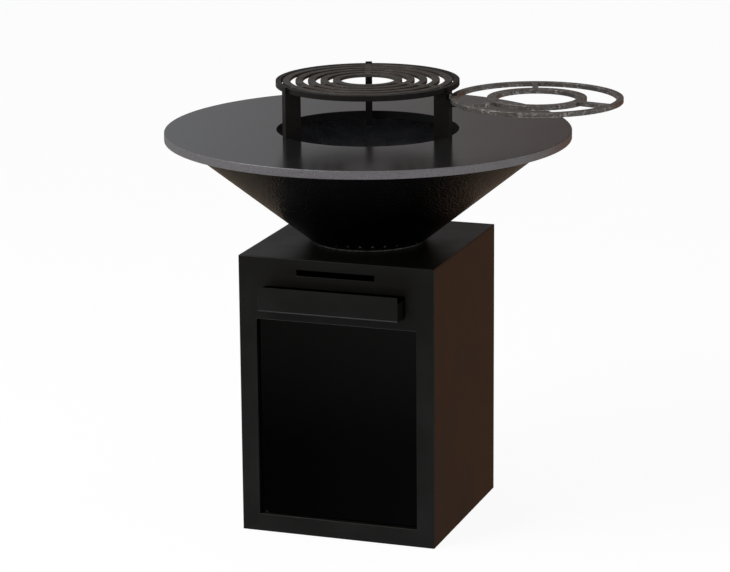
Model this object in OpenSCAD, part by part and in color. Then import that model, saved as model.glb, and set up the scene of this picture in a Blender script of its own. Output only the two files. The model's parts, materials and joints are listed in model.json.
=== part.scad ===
// Free-standing fire bowl plate grill: a steel cabinet with an ash drawer and a
// wood store, a conical fire bowl, a round griddle plate with a fire hole, and a
// stand with a cooking grate and a swinging pan ring over the hole.
// Origin: middle of the cabinet's base, on the floor. +Z up, -Y is the front.

/* [Cabinet] */
// Width and depth of the cabinet
cab_w = 450; // [420:1:520]
// Height of the cabinet
cab_h = 632; // [620:1:660]
// Thickness of the cabinet's sheet steel
sheet = 3; // [2:0.5:4]
// Width of the border round the door opening
border = 40.5; // [36:0.5:48]
// Height of the door opening's top edge
opening_top = 491; // [470:1:495]
// Width of the air slot
slot_w = 179; // [120:1:220]

/* [Ash drawer] */
// Width of the ash drawer
drawer_w = 321; // [280:1:325]
// Sideways shift of the drawer from the middle
drawer_shift = -3.5; // [-5:0.5:5]
// Height of the drawer's front
drawer_front_h = 56; // [50:1:58]
// How far the drawer's front stands out of the cabinet
drawer_proud = 45; // [25:1:50]

/* [Door] */
// Depth from the cabinet's face to the door's face
door_recess = 12; // [11:0.5:14]
// Gap round the door
door_gap = 3; // [3:0.25:4]

/* [Fire bowl] */
// Outer radius of the bowl's foot
foot_r = 127; // [120:1:135]
// Growth in radius for each millimetre of height
bowl_flare = 1.25; // [1.15:0.01:1.3]
// Thickness of the bowl's steel
bowl_t = 4; // [3:0.5:5]
// Count of air holes round the bowl's base
air_holes = 32; // [16:4:36]

/* [Griddle plate] */
// Radius of the griddle plate
plate_r = 451; // [440:1:470]
// Radius of the fire hole in the plate
hole_r = 202; // [200:1:205]
// Thickness of the plate
plate_t = 18; // [12:1:20]
// Height of the cooking surface above the floor
plate_top = 885; // [875:1:895]

/* [Stand and grate] */
// Turn of the stand on the plate
stand_turn = 18.4; // [0:0.1:60]
// Height of the hoop's top above the plate
hoop_rise = 110; // [100:1:130]
// Side of the hoop's square bar
hoop_bar = 12; // [10:1:14]
// Width of a stand leg
leg_w = 38; // [36:1:40]
// Thickness of a stand leg
leg_t = 15; // [8:1:16]
// Thickness of the cooking grate
grate_t = 7; // [4:1:8]
// Width of each ring of the grate
grate_bar = 16; // [12:1:17]
// Count of rings in the grate
grate_rings = 5; // [3:1:5]

/* [Pan ring] */
// Outer radius of the pan ring
ring_r = 187; // [170:1:195]
// Thickness of the pan ring
ring_t = 10; // [6:1:11]
// Width of the pan ring's bars
ring_bar = 14; // [13:1:16]
// Inner radius of the pan ring's small ring
ring_hole_r = 87; // [70:1:90]
// Swing of the pan ring from straight out
ring_swing = 22; // [0:1:35]

/* [Hidden] */
$fn = 96;

// Cabinet
half = cab_w / 2;
inner = half - sheet;
return_w = 20;
return_gap = 12;
open_x = half - border;
open_z0 = border;
reveal = 26;
slot_z = cab_h - 30.5;
slot_h = 12.5;
shelf_z = opening_top + 12;
back_screw_r = 2.5;
back_screw_l = 10;
back_head_r = 5;
back_head_h = 2.6;
back_screw_rows = [60, 225, 390, 555];

// Drawer
drawer_t = 2;
drawer_bend = 5;
drawer_z = shelf_z + sheet + 13;
drawer_x0 = drawer_shift - drawer_w / 2;
drawer_x1 = drawer_shift + drawer_w / 2;
drawer_y0 = -half - drawer_proud;
drawer_y1 = 140;
drawer_side_h = drawer_front_h - 16;
drawer_gap = 2;
cutout_h = drawer_front_h - 6;
stop_y = 75;
stop_rise = 12;
rail_w = 20;
rail_y0 = -inner + 5;
rail_y1 = drawer_y1 + 14;
guide_h = 24;
end_stop_gap = 0.5;
stop_w = 4;
stop_d = 14;
stop_z = drawer_z + 20;

// Door
door_t = 2;
door_depth = 18;
door_x = open_x - door_gap;
door_z0 = open_z0 + door_gap;
door_z1 = opening_top - door_gap;
door_y = -half + door_recess;
hinge_set = 6.5;
hinge_x = -door_x + hinge_set;
hinge_y = door_y + hinge_set;
hinge_r = 4;
bush_h = 12;
bush_reach = 18;
bush_deep = 15;
latch_x = 170;
latch_z = (open_z0 + opening_top) / 2;
latch_r = 5;
latch_front = door_y + 24;
latch_back = door_y + 60;
latch_travel_gap = 0.3;
latch_half_w = 10;
latch_half_h = 12;
bracket_half_h = 20;
strike_reach = 12;
strike_t = 3;
strike_half_h = 15;
plunger_l = 24;
bore_floor = 4;
running = 0.05;

// Fire bowl
foot_bead_r = 3;
floor_z = cab_h + 5.5;
floor_t = 4;
rim_t = 5;
plate_z = plate_top - plate_t;
cone_top_z = plate_z - rim_t;
ash_hole_r = 50;
ash_hole_step = 10;
air_hole_r = 3.5;
air_hole_z = floor_z + 10;
rim_in_r = 385;
rim_out_r = cone_r(cone_top_z) + 4;
locator_w = 30;
locator_h = 18;
locator_d = 13.5;
locator_gap = 1.5;
bolt_r = 4;
bolt_gap = 0.25;
washer_r = 8.5;
washer_gap = 0.2;
bolt_circle_r = 100;
washer_t = 1.6;
head_h = 5.3;
head_r = 7.5;
nut_h = 6.5;
bolt_tail_z = cab_h - 18;
grate_disc_r = 75;
grate_disc_t = 6;
grate_slot_w = 8;
grate_slot_pitch = 18;

// Stand
hoop_z = plate_top + hoop_rise - hoop_bar;
hoop_out_r = 203;
hoop_in_r = hoop_out_r - hoop_bar;
leg_out_r = hoop_out_r + 6.5;
leg_in_r = leg_out_r - leg_w;
leg_top_z = plate_top + hoop_rise + 2.5;
tongue_r = hole_r - 1.3;
tongue_drop = 30;
seat_gap = 0.1;
hoop_gap = 0.3;
grate_z = plate_top + hoop_rise - grate_t;
shoulder_z = plate_top + 0.1;
grate_in_r = 60.5;
grate_pitch = 27.6;
spoke_w = 14;
grate_gap = 0.8;
spoke_start = 4;
leg_angles = [90, 210, 330];
pan_leg_angle = 330;

// Pan ring
pivot_r = leg_out_r + 9;
ring_z = hoop_z - ring_t - 4;
pin_r = 4;
lug_h = 14;
lug_r = 8;
pin_head_r = 6.5;
pin_head_h = 3;
pin_play = 0.3;
ring_washer_r = 7.5;
lug_z = ring_z - washer_t - lug_h;
notch_deep = 7;
ring_spoke_angles = [97, 217, 337];
ring_spoke_w = 12;
small_ring_bar = 21;
ring_mid_r = ring_r - ring_bar / 2;

function cone_r(z) = foot_r - 3.2 + bowl_flare * (z - cab_h);

// A box given by its lowest and highest corners
module block(low, high) {
    translate(low)
        cube([high[0] - low[0], high[1] - low[1], high[2] - low[2]]);
}

// A flat ring or disc with a hole
module washer_disc(outer, hole, thick) {
    difference() {
        cylinder(r = outer, h = thick);
        translate([0, 0, -1])
            cylinder(r = hole, h = thick + 2);
    }
}

// Copies at the four bolt places of the bowl
module at_bolts() {
    for (turn = [45 : 90 : 315])
        rotate([0, 0, turn])
            translate([bolt_circle_r, 0, 0])
                children();
}

// Copies at the screw places of the back panel
module at_back_screws() {
    for (side = [-1, 1], z = back_screw_rows)
        translate([side * (inner - return_w / 2), half, z])
            rotate([90, 0, 0])
                children();
}

// ---- Cabinet ----

module side_panel(side) {
    color([0.09, 0.085, 0.08])
    difference() {
        union() {
            block([min(side * inner, side * half), -inner, 0],
                  [max(side * inner, side * half), inner, cab_h - sheet]);
            block([min(side * (inner - return_w), side * inner), inner - sheet, return_gap],
                  [max(side * (inner - return_w), side * inner), inner, cab_h - sheet - return_gap]);
        }
        at_back_screws()
            translate([0, 0, -sheet])
                cylinder(r = back_screw_r + 0.2, h = 3 * sheet);
    }
}

module side_left() {
    side_panel(-1);
}

module side_right() {
    side_panel(1);
}

module back_panel() {
    color([0.09, 0.085, 0.08])
    difference() {
        block([-half, inner, 0], [half, half, cab_h - sheet]);
        at_back_screws()
            translate([0, 0, -sheet])
                cylinder(r = back_screw_r + 0.2, h = 3 * sheet);
    }
}

module back_screws() {
    color([0.12, 0.12, 0.12])
    at_back_screws() {
        translate([0, 0, -back_head_h])
            cylinder(r1 = back_head_r - 1.6, r2 = back_head_r, h = back_head_h);
        cylinder(r = back_screw_r, h = back_screw_l);
    }
}

module top_panel() {
    color([0.1, 0.1, 0.1])
    difference() {
        block([-half, -inner, cab_h - sheet], [half, half, cab_h]);
        translate([0, 0, cab_h - 2 * sheet])
            cylinder(r = ash_hole_r + ash_hole_step, h = 3 * sheet);
        at_bolts()
            translate([0, 0, cab_h - 2 * sheet])
                cylinder(r = bolt_r + bolt_gap, h = 3 * sheet);
    }
}

module bottom_panel() {
    color([0.07, 0.07, 0.07])
    block([-inner, -inner, 0], [inner, inner, sheet]);
}

module front_panel() {
    wall = open_x + sheet;
    color([0.07, 0.07, 0.07])
    difference() {
        union() {
            block([-half, -half, 0], [half, -inner, cab_h]);
            block([-wall, -inner, open_z0 - sheet], [wall, -half + reveal, opening_top + sheet]);
        }
        block([-open_x, -half - 1, open_z0], [open_x, -half + reveal + 1, opening_top]);
        block([-slot_w / 2, -half - 1, slot_z - slot_h / 2], [slot_w / 2, -inner + 1, slot_z + slot_h / 2]);
        block([drawer_x0 - drawer_gap, -half - 1, drawer_z - drawer_gap],
              [drawer_x1 + drawer_gap, -inner + 1, drawer_z - drawer_gap + cutout_h]);
        translate([hinge_x, hinge_y, 0])
            cylinder(r = hinge_r, h = cab_h);
    }
}

module divider_shelf() {
    color([0.07, 0.07, 0.07])
    block([-inner, -inner, shelf_z], [inner, inner - sheet, shelf_z + sheet]);
}

// A rail under one edge of the drawer, with a side guide and an end stop
module runner(edge, side) {
    inside = edge - side * rail_w;
    guide = edge + side * (drawer_gap + sheet);
    z0 = shelf_z + sheet;
    color([0.2, 0.2, 0.2]) {
        block([min(inside, guide), rail_y0, z0], [max(inside, guide), rail_y1, drawer_z]);
        block([min(edge + side * drawer_gap, guide), rail_y0, drawer_z],
              [max(edge + side * drawer_gap, guide), rail_y1, drawer_z + guide_h]);
        block([min(inside, guide), drawer_y1 + end_stop_gap, drawer_z],
              [max(inside, guide), rail_y1, drawer_z + guide_h]);
    }
}

module runner_left() {
    runner(drawer_x0, -1);
}

module runner_right() {
    runner(drawer_x1, 1);
}

// ---- Ash drawer ----

// Floor, front and back folded from one strip of sheet, with a rounded front bend
module drawer_pan() {
    bend = drawer_bend;
    depth = drawer_y1 - drawer_y0;
    color([0.09, 0.09, 0.09])
    translate([drawer_x0, drawer_y0, drawer_z])
        rotate([90, 0, 90])
            linear_extrude(drawer_w)
                difference() {
                    union() {
                        translate([bend, 0])
                            square([depth - bend, drawer_side_h]);
                        translate([0, bend])
                            square([bend + 1, drawer_front_h - bend]);
                        translate([bend, bend])
                            circle(r = bend);
                    }
                    translate([bend, drawer_t])
                        square([depth - bend - drawer_t, drawer_front_h]);
                    translate([drawer_t, bend])
                        square([bend, drawer_front_h]);
                    translate([bend, bend])
                        circle(r = bend - drawer_t);
                }
}

// A side wall, stepped to clear the rounded front bend
module drawer_side(x) {
    color([0.09, 0.09, 0.09])
    for (step = [[drawer_t, drawer_bend], [drawer_bend, drawer_t]])
        block([x, drawer_y0 + step[0], drawer_z + step[1]],
              [x + drawer_t, drawer_y1 - drawer_t, drawer_z + drawer_side_h]);
}

module drawer_side_left() {
    drawer_side(drawer_x0);
}

module drawer_side_right() {
    drawer_side(drawer_x1 - drawer_t);
}

// Tabs on the side walls that meet the back of the front panel
module drawer_stops() {
    color([0.2, 0.2, 0.2])
    for (x = [drawer_x0 + drawer_t, drawer_x1 - drawer_t - stop_w])
        block([x, stop_y, stop_z],
              [x + stop_w, stop_y + stop_d, drawer_z + drawer_side_h + stop_rise]);
}

// ---- Door and touch latch ----

module door_panel() {
    color([0.02, 0.02, 0.02])
    difference() {
        block([-door_x, door_y, door_z0], [door_x, door_y + door_depth, door_z1]);
        block([-door_x + door_t, door_y + door_t, door_z0 + door_t],
              [door_x - door_t, door_y + door_depth + 1, door_z1 - door_t]);
        translate([hinge_x, hinge_y, 0])
            cylinder(r = hinge_r + running, h = cab_h);
    }
}

module door_bushes() {
    color([0.5, 0.5, 0.5])
    for (z = [door_z0 + door_t, door_z1 - door_t - bush_h])
        difference() {
            block([-door_x + door_t, door_y + door_t, z], [-door_x + bush_reach, door_y + bush_deep, z + bush_h]);
            translate([hinge_x, hinge_y, z - 1])
                cylinder(r = hinge_r + running, h = bush_h + 2);
        }
}

module hinge_pins() {
    color([0.55, 0.55, 0.55])
    translate([hinge_x, hinge_y, 0]) {
        translate([0, 0, open_z0 - sheet])
            cylinder(r = hinge_r, h = sheet + door_gap + bush_h);
        translate([0, 0, opening_top - door_gap - bush_h])
            cylinder(r = hinge_r, h = sheet + door_gap + bush_h);
    }
}

module strike_plate() {
    color([0.5, 0.5, 0.5])
    block([latch_x - strike_reach, door_y + door_depth - strike_t, latch_z - strike_half_h],
          [door_x - door_t, door_y + door_depth, latch_z + strike_half_h]);
}

module latch_bracket() {
    wall = open_x + sheet;
    color([0.3, 0.3, 0.3])
    block([wall, -inner, latch_z - bracket_half_h],
          [wall + sheet, latch_back, latch_z + bracket_half_h]);
}

module latch_body() {
    color([0.15, 0.15, 0.15])
    difference() {
        block([latch_x - latch_half_w, latch_front, latch_z - latch_half_h],
              [open_x + sheet, latch_back, latch_z + latch_half_h]);
        translate([latch_x, latch_front - 1, latch_z])
            rotate([-90, 0, 0])
                cylinder(r = latch_r + running, h = latch_back - latch_front + 1 - bore_floor);
    }
}

module latch_plunger() {
    color([0.7, 0.7, 0.7])
    translate([latch_x, door_y + door_depth + latch_travel_gap, latch_z])
        rotate([-90, 0, 0])
            cylinder(r = latch_r, h = plunger_l);
}

// ---- Fire bowl ----

module fire_bowl() {
    skin = bowl_t * sqrt(1 + pow(bowl_flare, 2));
    floor_top = floor_z + floor_t;
    color([0.05, 0.045, 0.045])
    difference() {
        rotate_extrude()
            polygon([
                [ash_hole_r, floor_z],
                [cone_r(floor_z), floor_z],
                [cone_r(cone_top_z), cone_top_z],
                [cone_r(cone_top_z) - skin, cone_top_z],
                [cone_r(floor_top) - skin, floor_top],
                [ash_hole_r, floor_top]
            ]);
        for (i = [0 : air_holes - 1])
            rotate([0, 0, i * 360 / air_holes])
                translate([cone_r(air_hole_z) - 18, 0, air_hole_z])
                    rotate([0, 90, 0])
                        cylinder(r = air_hole_r, h = 36, $fn = 24);
        at_bolts()
            translate([0, 0, floor_z - 1])
                cylinder(r = bolt_r + bolt_gap, h = floor_t + 2);
    }
}

// Round bar under the bowl, with a flat on top for the bowl's floor
module bowl_foot_ring() {
    color([0.3, 0.3, 0.3])
    rotate_extrude()
        intersection() {
            translate([foot_r - foot_bead_r, cab_h + foot_bead_r])
                circle(r = foot_bead_r, $fn = 32);
            translate([foot_r - 3 * foot_bead_r, cab_h])
                square([4 * foot_bead_r, floor_z - cab_h]);
        }
}

module bowl_rim_ring() {
    color([0.06, 0.06, 0.06])
    translate([0, 0, cone_top_z])
        washer_disc(rim_out_r, rim_in_r, rim_t);
}

// Slotted disc over the ash hole
module fire_grate() {
    color([0.15, 0.13, 0.12])
    translate([0, 0, floor_z + floor_t])
        difference() {
            cylinder(r = grate_disc_r, h = grate_disc_t);
            for (i = [-2 : 2]) {
                reach = grate_disc_r - 13 - 10 * abs(i);
                translate([i * grate_slot_pitch - grate_slot_w / 2, -reach, -1])
                    cube([grate_slot_w, 2 * reach, grate_disc_t + 2]);
            }
        }
}

module bowl_bolts() {
    under_head = floor_z + floor_t + washer_t;
    color([0.4, 0.4, 0.4])
    at_bolts() {
        translate([0, 0, under_head])
            cylinder(r = head_r, h = head_h, $fn = 6);
        translate([0, 0, bolt_tail_z])
            cylinder(r = bolt_r, h = under_head - bolt_tail_z);
    }
}

module bowl_washers() {
    color([0.45, 0.45, 0.45])
    at_bolts() {
        translate([0, 0, floor_z + floor_t])
            washer_disc(washer_r, bolt_r + washer_gap, washer_t);
        translate([0, 0, cab_h - sheet - washer_t])
            washer_disc(washer_r, bolt_r + washer_gap, washer_t);
    }
}

module bowl_nuts() {
    color([0.4, 0.4, 0.4])
    at_bolts()
        translate([0, 0, cab_h - sheet - washer_t - nut_h])
            difference() {
                cylinder(r = head_r, h = nut_h, $fn = 6);
                translate([0, 0, -1])
                    cylinder(r = bolt_r, h = nut_h + 2);
            }
}

// ---- Griddle plate ----

// Round plate with its edges eased by a small radius
module griddle_plate() {
    ease = 1.5;
    color([0.35, 0.35, 0.37])
    rotate_extrude($fn = 240)
        difference() {
            translate([hole_r, plate_z])
                square([plate_r - hole_r, plate_t]);
            translate([plate_r - ease, plate_top - ease])
                difference() {
                    square(ease + 1);
                    circle(r = ease, $fn = 24);
                }
            translate([hole_r + ease, plate_top - ease])
                difference() {
                    translate([-ease - 1, 0])
                        square(ease + 1);
                    circle(r = ease, $fn = 24);
                }
        }
}

// Blocks under the plate that sit inside the bowl's rim
module plate_locators() {
    color([0.2, 0.2, 0.2])
    for (turn = [45 : 90 : 315])
        rotate([0, 0, turn])
            block([rim_in_r - locator_gap - locator_d, -locator_w / 2, plate_z - locator_h],
                  [rim_in_r - locator_gap, locator_w / 2, plate_z]);
}

// ---- Stand, grate and pan ring ----

// Everything on the stand turns with it
module on_stand() {
    rotate([0, 0, stand_turn])
        children();
}

// Square bar ring that rests in the legs' notches
module stand_hoop() {
    color([0.1, 0.09, 0.08])
    on_stand()
        translate([0, 0, hoop_z])
            washer_disc(hoop_out_r, hoop_in_r, hoop_bar);
}

// Upright flat leg: tongue in the fire hole, shoulder on the plate, ledge for the
// grate, seat for the hoop and a short horn outside the hoop
module stand_leg(angle, notched = false) {
    color([0.1, 0.1, 0.1])
    on_stand()
        rotate([90, 0, angle])
            translate([0, 0, -leg_t / 2])
                linear_extrude(leg_t)
                    difference() {
                        polygon([
                            [leg_in_r, plate_top - tongue_drop],
                            [tongue_r, plate_top - tongue_drop],
                            [tongue_r, shoulder_z],
                            [leg_out_r, shoulder_z],
                            [leg_out_r, leg_top_z],
                            [hoop_out_r + seat_gap, leg_top_z],
                            [hoop_out_r + seat_gap, hoop_z],
                            [hoop_in_r - hoop_gap, hoop_z],
                            [hoop_in_r - hoop_gap, grate_z],
                            [leg_in_r, grate_z]
                        ]);
                        if (notched)
                            translate([leg_out_r - notch_deep, ring_z - 1])
                                square([notch_deep + 1, ring_t + 2.5]);
                    }
}

module stand_leg_rear() {
    stand_leg(leg_angles[0]);
}

module stand_leg_left() {
    stand_leg(leg_angles[1]);
}

module stand_leg_right() {
    stand_leg(leg_angles[2], notched = true);
}

// Places its children at the pan ring's pivot, +X pointing straight out
module at_pivot() {
    on_stand()
        rotate([0, 0, pan_leg_angle])
            translate([pivot_r, 0, 0])
                children();
}

module ring_lug() {
    color([0.1, 0.1, 0.1])
    at_pivot()
        translate([0, 0, lug_z])
            difference() {
                union() {
                    cylinder(r = lug_r, h = lug_h);
                    translate([leg_out_r - pivot_r, -leg_t / 2, 0])
                        cube([pivot_r - leg_out_r, leg_t, lug_h]);
                }
                translate([0, 0, -1])
                    cylinder(r = pin_r, h = lug_h + 2);
            }
}

module ring_pin() {
    color([0.4, 0.4, 0.4])
    at_pivot() {
        translate([0, 0, lug_z])
            cylinder(r = pin_r, h = ring_z + ring_t + pin_play - lug_z);
        translate([0, 0, ring_z + ring_t + pin_play])
            cylinder(r = pin_head_r, h = pin_head_h);
    }
}

module ring_washer() {
    color([0.5, 0.5, 0.5])
    at_pivot()
        translate([0, 0, ring_z - washer_t])
            washer_disc(ring_washer_r, pin_r, washer_t);
}

// Rings joined by spokes over the legs, cut from one plate
module cooking_grate() {
    color([0.32, 0.3, 0.28])
    on_stand()
        translate([0, 0, grate_z])
            linear_extrude(grate_t) {
                for (i = [0 : grate_rings - 1])
                    difference() {
                        circle(r = grate_in_r + i * grate_pitch + grate_bar, $fn = 160);
                        circle(r = grate_in_r + i * grate_pitch, $fn = 160);
                    }
                for (angle = leg_angles)
                    rotate(angle)
                        translate([grate_in_r + spoke_start, -spoke_w / 2])
                            square([hoop_in_r - grate_gap - grate_in_r - spoke_start, spoke_w]);
            }
}

// Large and small ring joined by spokes, with a pivot hole in the large ring
module pan_ring() {
    color([0.3, 0.27, 0.25])
    at_pivot()
        rotate([0, 0, ring_swing])
            translate([ring_mid_r, 0, ring_z])
                difference() {
                    linear_extrude(ring_t) {
                        difference() {
                            circle(r = ring_r, $fn = 160);
                            circle(r = ring_r - ring_bar, $fn = 160);
                        }
                        difference() {
                            circle(r = ring_hole_r + small_ring_bar, $fn = 120);
                            circle(r = ring_hole_r, $fn = 120);
                        }
                        for (angle = ring_spoke_angles)
                            rotate(angle)
                                translate([ring_hole_r + 5, -ring_spoke_w / 2])
                                    square([ring_r - ring_hole_r - 10, ring_spoke_w]);
                    }
                    translate([-ring_mid_r, 0, -1])
                        cylinder(r = pin_r + running, h = ring_t + 2);
                }
}

side_left();
side_right();
back_panel();
top_panel();
bottom_panel();
front_panel();
divider_shelf();
runner_left();
runner_right();
back_screws();
hinge_pins();
latch_bracket();
latch_body();
latch_plunger();
door_panel();
door_bushes();
strike_plate();
drawer_pan();
drawer_side_left();
drawer_side_right();
drawer_stops();
fire_bowl();
bowl_foot_ring();
bowl_rim_ring();
fire_grate();
bowl_bolts();
bowl_washers();
bowl_nuts();
griddle_plate();
plate_locators();
stand_hoop();
stand_leg_left();
stand_leg_right();
stand_leg_rear();
ring_lug();
ring_pin();
ring_washer();
cooking_grate();
pan_ring();
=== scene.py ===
import json
import math

import bmesh
import bpy
from mathutils import Matrix, Vector


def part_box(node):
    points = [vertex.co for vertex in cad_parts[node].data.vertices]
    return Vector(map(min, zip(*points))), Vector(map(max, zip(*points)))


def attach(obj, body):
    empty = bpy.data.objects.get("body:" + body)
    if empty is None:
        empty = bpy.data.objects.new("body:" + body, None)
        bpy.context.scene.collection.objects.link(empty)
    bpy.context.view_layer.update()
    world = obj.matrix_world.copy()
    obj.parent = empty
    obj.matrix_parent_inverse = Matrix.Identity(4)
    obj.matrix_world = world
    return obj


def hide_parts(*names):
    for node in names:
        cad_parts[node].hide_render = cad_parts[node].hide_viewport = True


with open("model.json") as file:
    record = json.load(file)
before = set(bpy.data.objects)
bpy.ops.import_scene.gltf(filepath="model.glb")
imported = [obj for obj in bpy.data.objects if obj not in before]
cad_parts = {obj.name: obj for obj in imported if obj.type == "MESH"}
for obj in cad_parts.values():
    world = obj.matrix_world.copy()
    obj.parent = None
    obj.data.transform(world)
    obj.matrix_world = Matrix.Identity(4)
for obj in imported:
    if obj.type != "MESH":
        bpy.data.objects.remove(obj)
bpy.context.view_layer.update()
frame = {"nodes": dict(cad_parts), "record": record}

MM = 0.001
NODES = frame["nodes"]
BODIES = frame["record"]["behaviour"]["bodies"]
BODY_OF = {node: body for body, members in BODIES.items() for node in members}
SLOT_OF = {row["node"]: row["material_slot"] for row in frame["record"]["subparts"]}

# Camera: the same long lens and viewing angle as the reference view
CAMERA_PLACE = (2.1159, -6.0655, 2.1754)
CAMERA_AZIMUTH = 19.316
CAMERA_ELEVATION = 14.417
CAMERA_ROLL = -0.479
CAMERA_LENS = 145.74
CAMERA_SENSOR = 36.0
CAMERA_REACH = 200.0

# Stage: how bright the backdrop and the floor look to the camera, and the one lamp
BACKDROP = 0.965
FLOOR_GLOW = 0.925
FLOOR_R = 30.0
KEY_PLACE = (-2.2, -2.6, 3.6)
KEY_AIM = (0, 0, 0.7)
KEY_SIZE = 2.2
KEY_POWER = 60

# Radii about the bowl's axis, and the height that its row of air holes stays under
HOOP_PAST_HOLE = 1.0 * MM
AIR_HOLE_ROW = 15 * MM
PLATE_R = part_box("griddle_plate")[1][0]
HOLE_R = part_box("stand_hoop")[1][0] - HOOP_PAST_HOLE
FOOT_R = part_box("bowl_foot_ring")[1][0]
AIR_HOLE_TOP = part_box("fire_bowl")[0][2] + AIR_HOLE_ROW

# The stand and the fasteners, as the CAD model has them: a flat is the distance from a
# hexagon's middle to its side, and the lug's reach is from the ring's pin to its leg
LEGS = 3
LEG_T = 15.0 * MM
LUG_REACH = 9.0 * MM
WASHER_R = 8.5 * MM
BOLT_R = 4.0 * MM
BOLT_FLAT = 6.45 * MM
BOLT_HEAD_H = 5.3 * MM
SCREW_R = 2.5 * MM
SCREW_HEAD_R = 5.0 * MM
SCREW_ROWS = 4

# Weld beads: their radii, the step between their rings, how far they stay off an end, the
# swell of each ring in a ripple, and how thick an open bead is at its tips
FOOT_BEAD_R = 1.0 * MM
FOOT_BEAD_STEP = 0.8 * MM
SEAT_BEAD_R = 1.3 * MM
SIDE_BEAD_R = 1.1 * MM
BEAD_STEP = 0.7 * MM
BEAD_END = 1.0 * MM
RIPPLE = (1.0, 1.14, 0.9)
BEAD_TIP = 0.45

# Angles past which the edges of a weld or a fastener stay sharp, in degrees
WELD_SHARP = 35
FASTENER_SHARP = 30

# Turned corners of a bolt's head or a nut, as shares of its flat: where they start, the
# radius of the round face that they leave, and their slope
TURNED_FROM = 0.97
TURNED_FACE = 0.96
TURNED_SLOPE = 0.58

# Threads: the bolt's pointed tip, its threaded length over the nut's underside and the run
# out over that, and the sunk ends of a nut's bore
BOLT_TIP_H = 0.6 * MM
BOLT_TIP_IN = 1.1 * MM
BOLT_THREAD_H = 12.0 * MM
BOLT_RUN_OUT = 0.4 * MM
NUT_SINK = 0.6 * MM

# A back screw: its tip, its thread, the depths where its cone starts and its rim ends,
# and its hexagon socket with a broken edge and a drilled bottom
SCREW_TIP_H = 0.5 * MM
SCREW_TIP_IN = 0.7 * MM
SCREW_PITCH = 0.8 * MM
SCREW_GROOVE = 0.35 * MM
SCREW_THREAD_TOP = 3.0 * MM
SCREW_CONE_TOP = 2.8 * MM
SCREW_RIM_H = 0.25 * MM
SCREW_RIM_IN = 0.2 * MM
SOCKET_FLAT = 1.5 * MM
SOCKET_EDGE = 1.08
SOCKET_EDGE_H = 0.15 * MM
SOCKET_H = 1.7 * MM
SOCKET_POINT_H = 2.0 * MM
SOCKET_POINT_R = 0.2 * MM


# ---- Shader helpers ----

def link_or_set(tree, socket, value):
    """Feeds a socket from another socket, or sets its own value."""
    if isinstance(value, bpy.types.NodeSocket):
        tree.links.new(value, socket)
    elif isinstance(value, (tuple, list)) and len(value) == 3 and socket.type == "RGBA":
        socket.default_value = (*value, 1.0)
    else:
        socket.default_value = value


def add(tree, kind, inputs=None, **settings):
    """A new node with its settings, and its inputs fed or set by name or index."""
    node = tree.nodes.new(kind)
    for name, value in settings.items():
        setattr(node, name, value)
    for key, value in (inputs or {}).items():
        link_or_set(tree, node.inputs[key], value)
    return node


def coords(tree, stretch=(1, 1, 1)):
    """Positions in the object's own frame, stretched along each axis."""
    place = add(tree, "ShaderNodeTexCoord").outputs["Object"]
    if stretch == (1, 1, 1):
        return place
    return add(tree, "ShaderNodeMapping", {"Vector": place, "Scale": stretch}).outputs[0]


def noise(tree, scale, detail=4.0, rough=0.55, stretch=(1, 1, 1)):
    """Cloudy variation from 0 to 1, with scale features in a metre."""
    inputs = {"Vector": coords(tree, stretch), "Scale": scale, "Detail": detail, "Roughness": rough}
    return add(tree, "ShaderNodeTexNoise", inputs).outputs[0]


def cells(tree, scale, smooth=0.0):
    """Distance to the nearest of many scattered points, with soft borders where asked."""
    inputs = {"Vector": coords(tree), "Scale": scale}
    if smooth == 0.0:
        return add(tree, "ShaderNodeTexVoronoi", inputs).outputs["Distance"]
    inputs["Smoothness"] = smooth
    return add(tree, "ShaderNodeTexVoronoi", inputs, feature="SMOOTH_F1").outputs["Distance"]


def remap(tree, value, low, high, to_low=0.0, to_high=1.0):
    """Stretches a value's range, held within its ends."""
    inputs = {0: value, 1: low, 2: high, 3: to_low, 4: to_high}
    return add(tree, "ShaderNodeMapRange", inputs, clamp=True).outputs[0]


def calc(tree, operation, a, b=0.0, clamp=False):
    """One sum on two numbers, held from 0 to 1 where asked."""
    node = add(tree, "ShaderNodeMath", {0: a, 1: b}, operation=operation, use_clamp=clamp)
    return node.outputs[0]


def blend_colour(tree, mask, a, b):
    """Colour a where the mask is 0 and b where it is 1."""
    node = add(tree, "ShaderNodeMix", data_type="RGBA")
    link_or_set(tree, node.inputs["Factor"], mask)
    link_or_set(tree, [s for s in node.inputs if s.name == "A" and s.type == "RGBA"][0], a)
    link_or_set(tree, [s for s in node.inputs if s.name == "B" and s.type == "RGBA"][0], b)
    return [s for s in node.outputs if s.type == "RGBA"][0]


def edge_mask(tree, radius, breakup=60.0, low=0.45, high=0.62):
    """1 along worn edges, broken up by noise, and 0 on flat faces."""
    soft = add(tree, "ShaderNodeBevel", {"Radius": radius}, samples=6).outputs[0]
    hard = add(tree, "ShaderNodeNewGeometry").outputs["Normal"]
    same = add(tree, "ShaderNodeVectorMath", {0: soft, 1: hard}, operation="DOT_PRODUCT")
    edge = remap(tree, same.outputs["Value"], 0.99, 0.88)
    worn = remap(tree, noise(tree, breakup), low, high)
    return calc(tree, "MULTIPLY", edge, worn)


def radius_mask(tree, near, far):
    """0 inside one distance from the bowl's axis and 1 outside another."""
    place = add(tree, "ShaderNodeSeparateXYZ", {0: coords(tree)})
    flat = add(tree, "ShaderNodeCombineXYZ", {0: place.outputs[0], 1: place.outputs[1]})
    reach = add(tree, "ShaderNodeVectorMath", {0: flat.outputs[0]}, operation="LENGTH")
    return remap(tree, reach.outputs["Value"], near, far)


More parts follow.
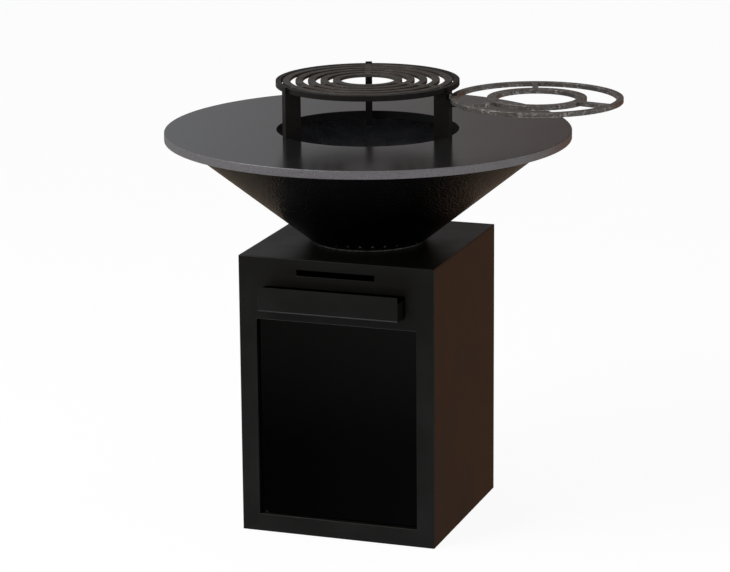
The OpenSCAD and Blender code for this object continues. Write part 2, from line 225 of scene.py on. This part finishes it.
def facing_up(tree, low, high):
    """0 on faces that look down and 1 on faces that look up."""
    normal = add(tree, "ShaderNodeNewGeometry").outputs["Normal"]
    return remap(tree, add(tree, "ShaderNodeSeparateXYZ", {0: normal}).outputs[2], low, high)


def bump(tree, height, strength, distance, below=None):
    """Surface relief from a height, over another bump where one is given."""
    inputs = {"Strength": strength, "Distance": distance, "Height": height}
    if below is not None:
        inputs["Normal"] = below
    return add(tree, "ShaderNodeBump", inputs).outputs[0]


def material(name, build):
    """A material whose shader inputs come from build(tree)."""
    mat = bpy.data.materials.new(name)
    mat.use_nodes = True
    tree = mat.node_tree
    shader = next(n for n in tree.nodes if n.type == "BSDF_PRINCIPLED")
    for key, value in build(tree).items():
        link_or_set(tree, shader.inputs[key], value)
    return mat


# ---- Materials, one for each slot of the record ----

def powder_coat(tree, colour, light, rough, relief=0.3):
    """Fine-textured black powder coat, a little dusty, with rubbed edges."""
    dust = remap(tree, noise(tree, 7, 6, 0.62), 0.42, 0.72)
    grain = noise(tree, 900, 2, 0.5)
    peel = noise(tree, 260, 2, 0.5)
    edge = edge_mask(tree, 1.2 * MM)
    tone = blend_colour(tree, dust, colour, light)
    tone = blend_colour(tree, calc(tree, "MULTIPLY", edge, 0.3), tone, (0.05, 0.048, 0.046))
    shine = remap(tree, dust, 0, 1, rough - 0.04, rough + 0.05)
    shine = calc(tree, "ADD", shine, calc(tree, "MULTIPLY", grain, 0.06))
    under = bump(tree, peel, relief, 0.1 * MM)
    return {
        "Base Color": tone,
        "Roughness": shine,
        "Normal": bump(tree, grain, relief, 0.04 * MM, under),
    }


def cabinet_paint(tree):
    """The cabinet's outer panels."""
    return powder_coat(tree, (0.0072, 0.0065, 0.0053), (0.0094, 0.0086, 0.0071), 0.38)


def drawer_paint(tree):
    """The ash drawer: the cabinet's paint made a little lighter, as painted light that stands in for
    the light from the right front.
    """
    # lighter colours than the cabinet's: painted light for the light falling from the right front
    return powder_coat(tree, (0.0078, 0.0073, 0.0063), (0.0102, 0.0096, 0.0085), 0.38)


def door_gloss(tree):
    """Smooth black enamel with faint wiping marks."""
    wipe = noise(tree, 9, 5, 0.6, (1, 1, 0.25))
    speck = remap(tree, cells(tree, 260), 0.10, 0.03)
    fine = noise(tree, 700, 2)
    rough = remap(tree, wipe, 0.35, 0.7, 0.04, 0.07)
    return {
        "Base Color": blend_colour(tree, wipe, (0.0006, 0.0006, 0.0007), (0.0014, 0.0013, 0.0014)),
        "Roughness": calc(tree, "ADD", rough, calc(tree, "MULTIPLY", speck, 0.1)),
        "Normal": bump(tree, fine, 0.2, 0.008 * MM),
    }


def bowl_paint(tree):
    """Black heat-proof paint over a hammered skin, and grey ash and soot inside the bowl."""
    dents = cells(tree, 190, 0.3)
    pits = noise(tree, 620, 3, 0.65)
    glint = remap(tree, noise(tree, 380, 2, 0.7), 0.56, 0.66)
    haze = remap(tree, noise(tree, 8, 5, 0.6), 0.35, 0.7)
    tone = blend_colour(tree, haze, (0.0016, 0.0016, 0.0018), (0.0034, 0.0032, 0.0032))
    ash = remap(tree, noise(tree, 22, 6, 0.65), 0.3, 0.7)
    inside = blend_colour(tree, ash, (0.24, 0.25, 0.28), (0.46, 0.47, 0.50))
    up = facing_up(tree, 0.0, 0.25)
    height = add(tree, "ShaderNodeSeparateXYZ", {0: coords(tree)}).outputs[2]
    over_holes = remap(tree, height, AIR_HOLE_TOP, AIR_HOLE_TOP + 5 * MM)
    on_floor = remap(tree, radius_mask(tree, FOOT_R - 1 * MM, FOOT_R + 3 * MM), 1.0, 0.0)
    up = calc(tree, "MULTIPLY", up, calc(tree, "MAXIMUM", over_holes, on_floor))
    skin = remap(tree, pits, 0.35, 0.7, 0.14, 0.26)
    skin = calc(tree, "SUBTRACT", skin, calc(tree, "MULTIPLY", glint, 0.08))
    rough = calc(tree, "ADD", skin, calc(tree, "MULTIPLY", up, 0.45), True)
    relief = bump(tree, dents, 1.0, 1.7 * MM)
    return {
        "Base Color": blend_colour(tree, up, tone, inside),
        "Roughness": rough,
        "Normal": bump(tree, pits, 0.6, 0.35 * MM, relief),
    }


def foot_steel(tree):
    """Bare bent bar, brighter where it is rubbed."""
    scuff = noise(tree, 120, 5, 0.6)
    rubbed = remap(tree, scuff, 0.35, 0.7)
    return {
        "Base Color": blend_colour(tree, rubbed, (0.16, 0.152, 0.145), (0.45, 0.44, 0.43)),
        "Metallic": 0.85,
        "Roughness": remap(tree, scuff, 0.3, 0.7, 0.3, 0.5),
        "Normal": bump(tree, scuff, 0.4, 0.2 * MM),
    }


def griddle_steel(tree):
    """Smooth seasoned plate with a ground rim, and soot on the wall of the fire hole."""
    clouds = remap(tree, noise(tree, 5, 6, 0.6), 0.35, 0.68)
    streaks = noise(tree, 90, 4, 0.6, (1, 0.04, 1))
    specks = remap(tree, cells(tree, 160), 0.16, 0.04)
    rust = remap(tree, noise(tree, 14, 7, 0.7), 0.56, 0.72)
    grind = noise(tree, 620, 3, 0.65)
    tone = blend_colour(tree, clouds, (0.197, 0.193, 0.193), (0.228, 0.222, 0.222))
    tone = blend_colour(tree, calc(tree, "MULTIPLY", specks, 0.25), tone, (0.12, 0.105, 0.095))
    tone = blend_colour(tree, calc(tree, "MULTIPLY", rust, 0.22), tone, (0.15, 0.105, 0.08))
    rim = radius_mask(tree, PLATE_R - 1.5 * MM, PLATE_R - 0.9 * MM)
    scratch = remap(tree, grind, 0.35, 0.65)
    ground = blend_colour(tree, scratch, (0.24, 0.23, 0.235), (0.58, 0.56, 0.58))
    tone = blend_colour(tree, rim, tone, ground)
    soot = remap(tree, radius_mask(tree, HOLE_R, HOLE_R + 1.2 * MM), 1.0, 0.0)
    tone = blend_colour(tree, soot, tone, (0.008, 0.008, 0.009))
    rough = remap(tree, clouds, 0, 1, 0.12, 0.16)
    rough = calc(tree, "ADD", rough, calc(tree, "MULTIPLY", streaks, 0.07))
    rough = calc(tree, "ADD", rough, calc(tree, "MULTIPLY", rim, 0.3))
    rough = calc(tree, "ADD", rough, calc(tree, "MULTIPLY", soot, 0.5), True)
    relief = bump(tree, calc(tree, "MULTIPLY", grind, rim), 0.5, 0.12 * MM)
    grain = bump(tree, streaks, 0.12, 0.03 * MM, relief)
    return {
        "Base Color": tone,
        "Metallic": remap(tree, soot, 0.0, 1.0, 0.92, 0.0),
        "Roughness": rough,
        "Normal": bump(tree, noise(tree, 800, 2), 0.12, 0.02 * MM, grain),
    }


def mill_scale(tree, dark, light, bright, rough, speck_scale=420.0, rub_from=0.55, metal=0.75):
    """Hot-rolled bar: patchy scale, bright rubbed specks and worn edges; on the ring these bright
    specks and edges are partly painted highlights.
    """
    patches = remap(tree, noise(tree, 32, 7, 0.65), 0.36, 0.66)
    grit = noise(tree, speck_scale, 4, 0.7)
    rub = remap(tree, grit, rub_from, rub_from + 0.14)
    edge = edge_mask(tree, 1.0 * MM, 90, 0.35, 0.6)
    tone = blend_colour(tree, patches, dark, light)
    tone = blend_colour(tree, calc(tree, "MULTIPLY", rub, 0.6), tone, bright)
    tone = blend_colour(tree, calc(tree, "MULTIPLY", edge, 0.7), tone, bright)
    shine = remap(tree, patches, 0, 1, rough + 0.08, rough - 0.05)
    coarse = bump(tree, patches, 0.3, 0.25 * MM)
    return {
        "Base Color": tone,
        "Metallic": metal,
        "Roughness": calc(tree, "SUBTRACT", shine, calc(tree, "MULTIPLY", rub, 0.12)),
        "Normal": bump(tree, grit, 0.4, 0.12 * MM, coarse),
    }


def stand_steel(tree):
    """Bar under a thin coat of soot and stove black."""
    dark = (0.0095, 0.0078, 0.0062)
    light = (0.0175, 0.0145, 0.012)
    bright = (0.05, 0.044, 0.039)
    return mill_scale(tree, dark, light, bright, 0.46, metal=0.3)


def grate_steel(tree):
    """The cooking grate's bar, browned by the fire."""
    dark = (0.105, 0.089, 0.077)
    light = (0.185, 0.165, 0.148)
    bright = (0.37, 0.34, 0.31)
    return mill_scale(tree, dark, light, bright, 0.45)


def ring_steel(tree):
    """Bare hot-rolled ring: grey scale with light blotches and bright specks and edges, partly rubbed
    wear and partly painted highlights.
    """
    dark = (0.16, 0.142, 0.128)
    light = (0.31, 0.29, 0.272)
    # nearly white for the specks and edges: partly rubbed bare steel, partly painted highlights
    bright = (0.82, 0.80, 0.77)
    parts = mill_scale(tree, dark, light, bright, 0.34, 300.0, 0.5)
    # light blotches, partly rubbed wear and partly painted highlights
    rub_and_painted_highlight = remap(tree, noise(tree, 75, 4, 0.7), 0.55, 0.63)
    rub_and_painted_highlight = calc(tree, "MULTIPLY", rub_and_painted_highlight, 0.75)
    parts["Base Color"] = blend_colour(tree, rub_and_painted_highlight, parts["Base Color"], (0.82, 0.80, 0.78))
    return parts


def inner_steel(tree):
    """Plain sheet inside the cabinet, lightly galvanised."""
    spangle = remap(tree, cells(tree, 55), 0.1, 0.6)
    fine = noise(tree, 300, 4)
    return {
        "Base Color": blend_colour(tree, spangle, (0.10, 0.10, 0.10), (0.22, 0.22, 0.215)),
        "Metallic": 0.8,
        "Roughness": remap(tree, fine, 0.3, 0.7, 0.38, 0.55),
        "Normal": bump(tree, fine, 0.2, 0.05 * MM),
    }


def fire_iron(tree):
    """The fire grate at the bowl's bottom, burnt brown."""
    return mill_scale(tree, (0.03, 0.024, 0.02), (0.08, 0.06, 0.045), (0.16, 0.12, 0.09), 0.6)


def hardware(tree):
    """Zinc-plated fasteners with a fine dull grain."""
    grain = noise(tree, 600, 4, 0.6)
    stain = remap(tree, noise(tree, 90, 5), 0.4, 0.7)
    return {
        "Base Color": blend_colour(tree, stain, (0.38, 0.38, 0.37), (0.22, 0.2, 0.17)),
        "Metallic": 1.0,
        "Roughness": remap(tree, grain, 0.3, 0.7, 0.25, 0.42),
        "Normal": bump(tree, grain, 0.2, 0.03 * MM),
    }


def latch_plastic(tree):
    """Moulded black plastic with a spark-eroded grain."""
    grain = noise(tree, 1400, 2, 0.5)
    return {
        "Base Color": blend_colour(tree, grain, (0.012, 0.012, 0.012), (0.022, 0.022, 0.022)),
        "Roughness": remap(tree, grain, 0.3, 0.7, 0.45, 0.6),
        "Normal": bump(tree, grain, 0.4, 0.04 * MM),
    }


BUILDERS = [
    cabinet_paint, drawer_paint, door_gloss, bowl_paint, foot_steel, griddle_steel, stand_steel,
    grate_steel, ring_steel, inner_steel, fire_iron, hardware, latch_plastic,
]
MATERIALS = {build.__name__: material(build.__name__, build) for build in BUILDERS}


# ---- CAD nodes: materials and eased edges ----

# Width of the rounded edges in millimetres, by slot, with 0 for none, and by node where it differs
EASE = {
    "cabinet_paint": 0.8,
    "drawer_paint": 0.35,
    "door_gloss": 0.9,
    "bowl_paint": 0.3,
    "foot_steel": 0.0,
    "griddle_steel": 0.8,
    "stand_steel": 0.7,
    "grate_steel": 0.6,
    "ring_steel": 0.8,
    "inner_steel": 0.3,
    "fire_iron": 0.5,
    "hardware": 0.0,
    "latch_plastic": 0.5,
}
NODE_EASE = {"front_panel": 1.4}

# What makes an edge: triangles that lie flatter than this together are one face, and a
# corner sharper than this is rounded, in degrees
FLAT_ANGLE = 0.5
EDGE_ANGLE = 40
WELD_GAP = 0.005 * MM


def finish_node(name):
    """Gives a CAD node its slot's material and small rounded edges."""
    piece = NODES[name]
    slot_name = SLOT_OF[name]
    piece.data.materials.clear()
    piece.data.materials.append(MATERIALS[slot_name])
    ease = NODE_EASE.get(name, EASE[slot_name])
    if ease == 0.0:
        return
    weld = piece.modifiers.new("weld", "WELD")
    weld.merge_threshold = WELD_GAP
    if name in NODE_EASE:
        # whole flat faces leave room for the wider edge
        flat = piece.modifiers.new("flat", "DECIMATE")
        flat.decimate_type = "DISSOLVE"
        flat.angle_limit = math.radians(FLAT_ANGLE)
    bevel = piece.modifiers.new("ease", "BEVEL")
    bevel.width = ease * MM
    bevel.segments = 3
    bevel.limit_method = "ANGLE"
    bevel.angle_limit = math.radians(EDGE_ANGLE)
    bevel.use_clamp_overlap = name not in NODE_EASE
    bevel.harden_normals = False
    smooth = piece.modifiers.new("shade", "WEIGHTED_NORMAL")
    smooth.keep_sharp = False
    smooth.weight = 80


for node_name in sorted(NODES):
    finish_node(node_name)


# ---- Detailed pieces ----

def make_piece(name, shape, slot_name, body, replaced=()):
    """Turns a bmesh into a piece that rides on a body and may stand for CAD nodes."""
    bmesh.ops.recalc_face_normals(shape, faces=shape.faces)
    mesh = bpy.data.meshes.new(name)
    shape.to_mesh(mesh)
    shape.free()
    mesh.materials.append(MATERIALS[slot_name])
    piece = bpy.data.objects.new(name, mesh)
    bpy.context.scene.collection.objects.link(piece)
    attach(piece, body)
    if replaced:
        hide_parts(*replaced)
    return piece


def skin_rings(shape, rings, closed=False):
    """Joins rings of points, each with as many points as the next, into a closed surface.

    The last ring joins the first where asked, and otherwise the two ends are capped.
    """
    rows = [[shape.verts.new(p) for p in ring] for ring in rings]
    count = len(rows[0])
    after = rows[1:] + rows[:1] if closed else rows[1:]
    for a, b in zip(rows, after):
        for i in range(count):
            j = (i + 1) % count
            shape.faces.new((a[i], a[j], b[j], b[i]))
    if not closed:
        shape.faces.new(rows[0][::-1])
        shape.faces.new(rows[-1])


def smooth_faces(piece, angle):
    """Smooth shading with sharp edges past an angle."""
    for face in piece.data.polygons:
        face.use_smooth = True
    piece.data.set_sharp_from_angle(angle=math.radians(angle))


def weld_bead(shape, path, radius, closed=False, sides=8):
    """A rippled bead of weld metal along a path, thinner at its tips where it is open."""
    rings = []
    count = len(path)
    for i, place in enumerate(path):
        ahead = path[(i + 1) % count] if closed or i + 1 < count else place
        behind = path[i - 1] if closed or i > 0 else place
        along = (ahead - behind).normalized()
        across = along.cross(Vector((0, 0, 1)))
        if across.length < 0.1:
            # the path runs upright
            across = along.cross(Vector((1, 0, 0)))
        across.normalize()
        up = across.cross(along).normalized()
        to_tip = min(1.0, 3.0 * min(i, count - 1 - i) / count)
        full = 1.0 if closed else BEAD_TIP + (1.0 - BEAD_TIP) * to_tip
        swell = radius * full * RIPPLE[i % len(RIPPLE)]
        turns = [2 * math.pi * k / sides for k in range(sides)]
        rings.append([place + swell * (math.cos(t) * across + math.sin(t) * up) for t in turns])
    skin_rings(shape, rings, closed)


def circle_path(radius, height, step):
    """Points round the bowl's axis, for a whole number of ripples."""
    ripple = len(RIPPLE)
    count = ripple * round(2 * math.pi * radius / step / ripple)
    turns = [2 * math.pi * i / count for i in range(count)]
    return [Vector((radius * math.cos(t), radius * math.sin(t), height)) for t in turns]


def line_path(start, end, step):
    """Points along a straight line."""
    count = max(4, round((end - start).length / step))
    return [start.lerp(end, i / count) for i in range(count + 1)]


def bowl_welds():
    """Fillet weld between the foot ring and the bowl, on the ring's outer top corner."""
    out, down = 0.3 * MM, 0.6 * MM
    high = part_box("bowl_foot_ring")[1]
    shape = bmesh.new()
    path = circle_path(high[0] + out, high[2] - down, FOOT_BEAD_STEP)
    weld_bead(shape, path, FOOT_BEAD_R, True)
    weld = make_piece("bowl_foot_weld", shape, "foot_steel", BODY_OF["bowl_foot_ring"])
    smooth_faces(weld, WELD_SHARP)


def upright_bead(shape, corner, low, high):
    """A bead up a corner between two heights."""
    bottom = corner + Vector((0, 0, low + BEAD_END))
    top = corner + Vector((0, 0, high - BEAD_END))
    weld_bead(shape, line_path(bottom, top, BEAD_STEP), SIDE_BEAD_R)


def leg_welds(shape, out, to_face, hoop_low, hoop_high):
    """Beads under the hoop and up its outside, on one face of a leg."""
    off = 0.2 * MM
    hoop_r = hoop_high[0]
    bar = hoop_high[2] - hoop_low[2]
    under = to_face + Vector((0, 0, hoop_low[2]))
    start = out * (hoop_r - bar + BEAD_END) + under
    end = out * (hoop_r - BEAD_END) + under
    weld_bead(shape, line_path(start, end, BEAD_STEP), SEAT_BEAD_R)
    upright_bead(shape, to_face + out * (hoop_r + off), hoop_low[2], hoop_high[2])


def stand_welds():
    """Beads where the hoop sits in its legs, and where the lug meets its leg."""
    hoop_low, hoop_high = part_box("stand_hoop")
    pin_low, pin_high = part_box("ring_pin")
    lug_low, lug_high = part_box("ring_lug")
    pin = Vector(((pin_low[0] + pin_high[0]) / 2, (pin_low[1] + pin_high[1]) / 2, 0))
    first = math.atan2(pin.y, pin.x)
    half_leg = LEG_T / 2
    shape = bmesh.new()
    for k in range(LEGS):
        turn = first + 2 * math.pi * k / LEGS
        out = Vector((math.cos(turn), math.sin(turn), 0))
        side = Vector((-math.sin(turn), math.cos(turn), 0))
        for way in (-1, 1):
            leg_welds(shape, out, side * (way * half_leg), hoop_low, hoop_high)
    out = pin.normalized()
    side = Vector((-out.y, out.x, 0))
    for way in (-1, 1):
        foot = out * (pin.length - LUG_REACH) + side * (way * half_leg)
        upright_bead(shape, foot, lug_low[2], lug_high[2])
    welds = make_piece("stand_welds", shape, "stand_steel", BODY_OF["stand_hoop"])
    smooth_faces(welds, WELD_SHARP)


def ring_points(place, turns, radii, heights):
    """A ring of points about an upright axis, each with its own radius and height."""
    return [
        place + Vector((r * math.cos(t), r * math.sin(t), z))
        for t, r, z in zip(turns, radii, heights)
    ]


def hex_reach(turn, flat):
    """Distance from a hexagon's middle to its side at an angle."""
    sector = (turn % (math.pi / 3)) - math.pi / 6
    return flat / math.cos(sector)


def hex_rings(place, flat, low, high, turned_low, turned_high, count=48):
    """Rings of a hexagonal head or nut, with its corners turned off where asked."""
    turns = [2 * math.pi * i / count for i in range(count)]
    face = [TURNED_FACE * flat] * count
    reach = [hex_reach(t, flat) for t in turns]
    drop = [max(0.0, r - TURNED_FROM * flat) * TURNED_SLOPE for r in reach]
    bottom, top = [low] * count, [high] * count
    rings = []
    if turned_low:
        rings.append(ring_points(place, turns, face, bottom))
        rings.append(ring_points(place, turns, reach, [low + d for d in drop]))
    else:
        rings.append(ring_points(place, turns, reach, bottom))
    if turned_high:
        rings.append(ring_points(place, turns, reach, [high - d for d in drop]))
        rings.append(ring_points(place, turns, face, top))
    else:
        rings.append(ring_points(place, turns, reach, top))
    return rings


def lathe(place, profile, count=32):
    """Rings of a turned shape from pairs of radius and height."""
    turns = [2 * math.pi * i / count for i in range(count)]
    return [ring_points(place, turns, [r] * count, [z] * count) for r, z in profile]


def thread(radius, low, high, pitch=1.25 * MM, deep=0.55 * MM):
    """Profile of a threaded length, as ridges and grooves."""
    ridges = max(1, int((high - low) / pitch))
    step = (high - low) / ridges
    profile = [(radius - deep, low)]
    for i in range(ridges):
        profile += [(radius, low + (i + 0.5) * step), (radius - deep, low + (i + 1) * step)]
    return profile


def bolt_places():
    """Middles of the bowl's four bolts, on the diagonals."""
    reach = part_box("bowl_washers")[1][0] - WASHER_R
    return [Vector((x * reach, y * reach, 0)) for x in (-1, 1) for y in (-1, 1)]


def bowl_bolts():
    """Hexagon bolts with turned corners and threaded tails."""
    low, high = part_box("bowl_bolts")
    thread_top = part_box("bowl_nuts")[0][2] + BOLT_THREAD_H
    head = high[2] - BOLT_HEAD_H
    tip = [(BOLT_R - BOLT_TIP_IN, low[2])]
    tail = thread(BOLT_R, low[2] + BOLT_TIP_H, thread_top)
    shank = [(BOLT_R, thread_top + BOLT_RUN_OUT), (BOLT_R, head)]
    shape = bmesh.new()
    for place in bolt_places():
        skin_rings(shape, hex_rings(place, BOLT_FLAT, head, high[2], False, True))
        skin_rings(shape, lathe(place, tip + tail + shank))
    fasteners = make_piece("hex_bolts", shape, "hardware", BODY_OF["bowl_bolts"], ["bowl_bolts"])
    smooth_faces(fasteners, FASTENER_SHARP)


def bowl_nuts():
    """Hexagon nuts with turned corners and a countersunk bore."""
    low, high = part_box("bowl_nuts")
    sunk = BOLT_R + NUT_SINK
    bore = [(sunk, high[2]), (BOLT_R, high[2] - NUT_SINK), (BOLT_R, low[2] + NUT_SINK), (sunk, low[2])]
    shape = bmesh.new()
    for place in bolt_places():
        rings = hex_rings(place, BOLT_FLAT, low[2], high[2], True, True)
        skin_rings(shape, rings + lathe(place, bore, len(rings[0])), True)
    fasteners = make_piece("hex_nuts", shape, "hardware", BODY_OF["bowl_nuts"], ["bowl_nuts"])
    smooth_faces(fasteners, FASTENER_SHARP)


def screw_rings(length, count=36):
    """Rings of a countersunk screw that points down: up from its tip, then into its socket."""
    origin = Vector((0, 0, 0))
    turns = [2 * math.pi * i / count for i in range(count)]
    tail = thread(SCREW_R, SCREW_TIP_H - length, -SCREW_THREAD_TOP, SCREW_PITCH, SCREW_GROOVE)
    profile = [(SCREW_R - SCREW_TIP_IN, -length)] + tail
    profile += [(SCREW_R, -SCREW_CONE_TOP), (SCREW_HEAD_R, -SCREW_RIM_H)]
    profile += [(SCREW_HEAD_R - SCREW_RIM_IN, 0.0)]
    rings = lathe(origin, profile, count)
    for widen, height in ((SOCKET_EDGE, 0.0), (1.0, -SOCKET_EDGE_H), (1.0, -SOCKET_H)):
        reach = [widen * hex_reach(t, SOCKET_FLAT) for t in turns]
        rings.append(ring_points(origin, turns, reach, [height] * count))
    return rings + lathe(origin, [(SOCKET_POINT_R, -SOCKET_POINT_H)], count)


def back_screws():
    """Countersunk screws with hexagon sockets, flush with the back panel, in two columns."""
    low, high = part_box("back_screws")
    rings = screw_rings(high[1] - low[1])
    turn_back = Matrix.Rotation(math.radians(-90), 3, "X")
    bottom, top = low[2] + SCREW_HEAD_R, high[2] - SCREW_HEAD_R
    shape = bmesh.new()
    for x in (low[0] + SCREW_HEAD_R, high[0] - SCREW_HEAD_R):
        for k in range(SCREW_ROWS):
            place = Vector((x, high[1], bottom + (top - bottom) * k / (SCREW_ROWS - 1)))
            skin_rings(shape, [[turn_back @ p + place for p in ring] for ring in rings])
    fasteners = make_piece("socket_screws", shape, "hardware", BODY_OF["back_screws"], ["back_screws"])
    smooth_faces(fasteners, FASTENER_SHARP)


bowl_welds()
stand_welds()
bowl_bolts()
bowl_nuts()
back_screws()


# ---- Floor, light and camera ----

def light_behind(tree, x, z):
    """Light from behind the object, by direction: cool at the left, and warm and dim elsewhere."""
    cool, dim = (0.305, 0.318, 0.335), (0.090, 0.058, 0.044)
    high = blend_colour(tree, remap(tree, x, -0.42, -0.20), cool, dim)
    plain, glow = (0.18, 0.145, 0.11), (0.20, 0.092, 0.044)
    low = blend_colour(tree, remap(tree, x, -0.15, 0.25), plain, glow)
    low = blend_colour(tree, remap(tree, z, -0.5, -0.78), low, (0.025, 0.024, 0.024))
    return blend_colour(tree, remap(tree, z, -0.12, 0.06), low, high)


def light_in_front(tree, x, y, z):
    """Light from the object's front, by direction: black low down, and dim over that."""
    aside = remap(tree, x, -0.37, -0.28)
    high = blend_colour(tree, aside, (0.125, 0.122, 0.115), (0.26, 0.25, 0.24))
    low = blend_colour(tree, aside, (0.004, 0.004, 0.005), (0.06, 0.055, 0.06))
    front = blend_colour(tree, remap(tree, z, -0.30, -0.235), low, high)
    # a bright strip near the floor, which lights the rounded lower edges
    strip = calc(tree, "MULTIPLY", remap(tree, z, -0.56, -0.64), remap(tree, z, -0.92, -0.87))
    strip = calc(tree, "MULTIPLY", strip, remap(tree, y, -0.24, -0.36))
    front = blend_colour(tree, strip, front, (2.4, 2.4, 2.55))
    # a lighter wall over the horizon, which the plate reflects in the views from the back
    return blend_colour(tree, remap(tree, z, 0.02, 0.2), front, (0.32, 0.32, 0.325))


def studio_world():
    """White to the camera, and a dim studio with soft bright areas for the object."""
    world = bpy.data.worlds.new("studio")
    bpy.context.scene.world = world
    world.use_nodes = True
    tree = world.node_tree
    tree.nodes.clear()
    way = add(tree, "ShaderNodeTexCoord").outputs["Generated"]
    x, y, z = add(tree, "ShaderNodeSeparateXYZ", {0: way}).outputs
    behind = light_behind(tree, x, z)
    front = light_in_front(tree, x, y, z)
    lit = blend_colour(tree, remap(tree, y, -0.25, 0.35), front, behind)
    # grey walls at both sides and a soft ceiling, for the views from elsewhere
    wall = remap(tree, calc(tree, "ABSOLUTE", x), 0.58, 0.72)
    lit = blend_colour(tree, wall, lit, (0.34, 0.34, 0.34))
    lit = blend_colour(tree, remap(tree, z, 0.5, 0.75), lit, (0.21, 0.21, 0.215))
    see = add(tree, "ShaderNodeLightPath").outputs["Is Camera Ray"]
    colour = blend_colour(tree, see, lit, (BACKDROP, BACKDROP, BACKDROP))
    shade = add(tree, "ShaderNodeBackground", {"Color": colour, "Strength": 1.0})
    add(tree, "ShaderNodeOutputWorld", {"Surface": shade.outputs[0]})


def floor_paint(tree):
    """Matt and faintly clouded, with the glow that makes it pale."""
    haze = noise(tree, 1.5, 3)
    return {
        "Base Color": blend_colour(tree, haze, (0.17, 0.17, 0.17), (0.19, 0.19, 0.19)),
        "Roughness": 0.9,
        "Specular IOR Level": 0.0,
        "Emission Color": (FLOOR_GLOW, FLOOR_GLOW, FLOOR_GLOW),
        "Emission Strength": 1.0,
    }


def pale_floor():
    """A wide pale floor that only the camera sees, so that it doesn't wash out the black paint."""
    mesh = bpy.data.meshes.new("floor")
    shape = bmesh.new()
    bmesh.ops.create_circle(shape, cap_ends=True, segments=96, radius=FLOOR_R)
    shape.to_mesh(mesh)
    shape.free()
    floor = bpy.data.objects.new("floor", mesh)
    bpy.context.scene.collection.objects.link(floor)
    mesh.materials.append(material("pale_floor", floor_paint))
    floor.visible_glossy = False
    floor.visible_diffuse = False


def key_light():
    """A square soft light over the front left."""
    data = bpy.data.lights.new("key", "AREA")
    data.shape = "SQUARE"
    data.size = KEY_SIZE
    data.energy = KEY_POWER
    lamp = bpy.data.objects.new("key", data)
    bpy.context.scene.collection.objects.link(lamp)
    toward = Vector(KEY_AIM) - Vector(KEY_PLACE)
    turn = toward.to_track_quat("-Z", "Y").to_matrix().to_4x4()
    lamp.matrix_world = Matrix.Translation(KEY_PLACE) @ turn


def camera():
    """A long lens at the reference view's place and angle."""
    data = bpy.data.cameras.new("camera")
    data.lens = CAMERA_LENS
    data.sensor_width = CAMERA_SENSOR
    data.sensor_fit = "HORIZONTAL"
    data.clip_end = CAMERA_REACH
    eye = bpy.data.objects.new("camera", data)
    bpy.context.scene.collection.objects.link(eye)
    turn = (
        Matrix.Rotation(math.radians(CAMERA_AZIMUTH), 4, "Z")
        @ Matrix.Rotation(math.radians(90 - CAMERA_ELEVATION), 4, "X")
        @ Matrix.Rotation(math.radians(CAMERA_ROLL), 4, "Z")
    )
    eye.matrix_world = Matrix.Translation(CAMERA_PLACE) @ turn
    bpy.context.scene.camera = eye


studio_world()
pale_floor()
key_light()
camera()
bpy.context.scene.view_settings.view_transform = "Standard"
